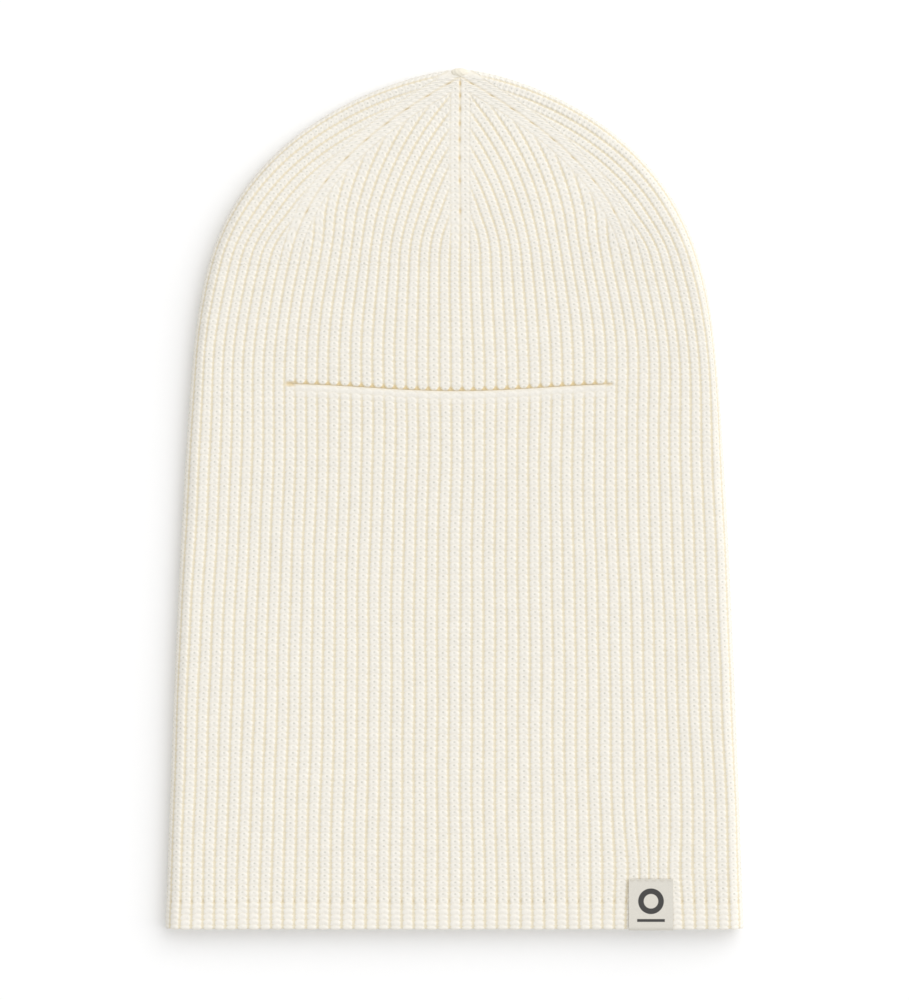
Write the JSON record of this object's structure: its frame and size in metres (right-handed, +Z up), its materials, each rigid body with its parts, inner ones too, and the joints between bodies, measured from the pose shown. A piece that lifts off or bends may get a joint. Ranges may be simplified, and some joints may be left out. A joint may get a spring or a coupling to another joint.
{
  "type": "balaclava",
  "caption": "Thick rib-knit balaclava lying flat, with a gored crown, a straight face slit, a ribbed hem and a small woven hem label.",
  "frame": {"origin": "under the middle of the flat balaclava, on the surface that its back lies on", "axes": "+X to the right side, +Y from the hem to the crown tip, +Z up out of the face side"},
  "size_m": [0.26, 0.3866, 0.0129],
  "materials": {
    "rib_knit": "matt cream wool rib knit",
    "yarn": "matt cream wool yarn",
    "label_tape": "satin woven tape",
    "label_thread": "fine sewing thread"
  },
  "bodies": {
    "cap": {"crown_gore_front_left": "rib_knit", "crown_gore_front_right": "rib_knit", "crown_gore_side_left": "rib_knit", "crown_gore_side_right": "rib_knit", "crown_gore_back_left": "rib_knit", "crown_gore_back_right": "rib_knit", "crown_gather_yarn": "yarn", "forehead_panel": "rib_knit", "chin_panel": "rib_knit", "temple_left": "rib_knit", "temple_right": "rib_knit", "cheek_left": "rib_knit", "cheek_right": "rib_knit", "slit_tack_left": "yarn", "slit_tack_right": "yarn", "head_back_panel": "rib_knit", "side_fold_left": "rib_knit", "side_fold_right": "rib_knit", "back_seam_head": "yarn"},
    "upper_lip": {"upper_lip_edge": "rib_knit", "upper_lip_panel": "rib_knit"},
    "lower_lip": {"lower_lip_edge": "rib_knit", "lower_lip_panel": "rib_knit"},
    "neck": {"neck_front_panel": "rib_knit", "neck_back_panel": "rib_knit", "neck_side_left": "rib_knit", "neck_side_right": "rib_knit", "hem_band_front": "rib_knit", "hem_band_back": "rib_knit", "back_seam_neck": "yarn", "woven_label": "label_tape", "label_stitches": "label_thread"}
  },
  "joints": [
    {"name": "neck_fold", "type": "hinge", "parent": "cap", "child": "neck", "pos_m": [0, -0.0947, 0.0126], "axis": [-1, 0, 0], "range_deg": [0, 180]},
    {"name": "upper_lip_lift", "type": "hinge", "parent": "cap", "child": "upper_lip", "pos_m": [0, 0.095, 0.012], "axis": [-1, 0, 0], "range_deg": [0, 25], "stiffness_Nm_per_rad": 0.02},
    {"name": "lower_lip_lift", "type": "hinge", "parent": "cap", "child": "lower_lip", "pos_m": [0, 0.01, 0.012], "axis": [1, 0, 0], "range_deg": [0, 35], "stiffness_Nm_per_rad": 0.02}
  ]
}
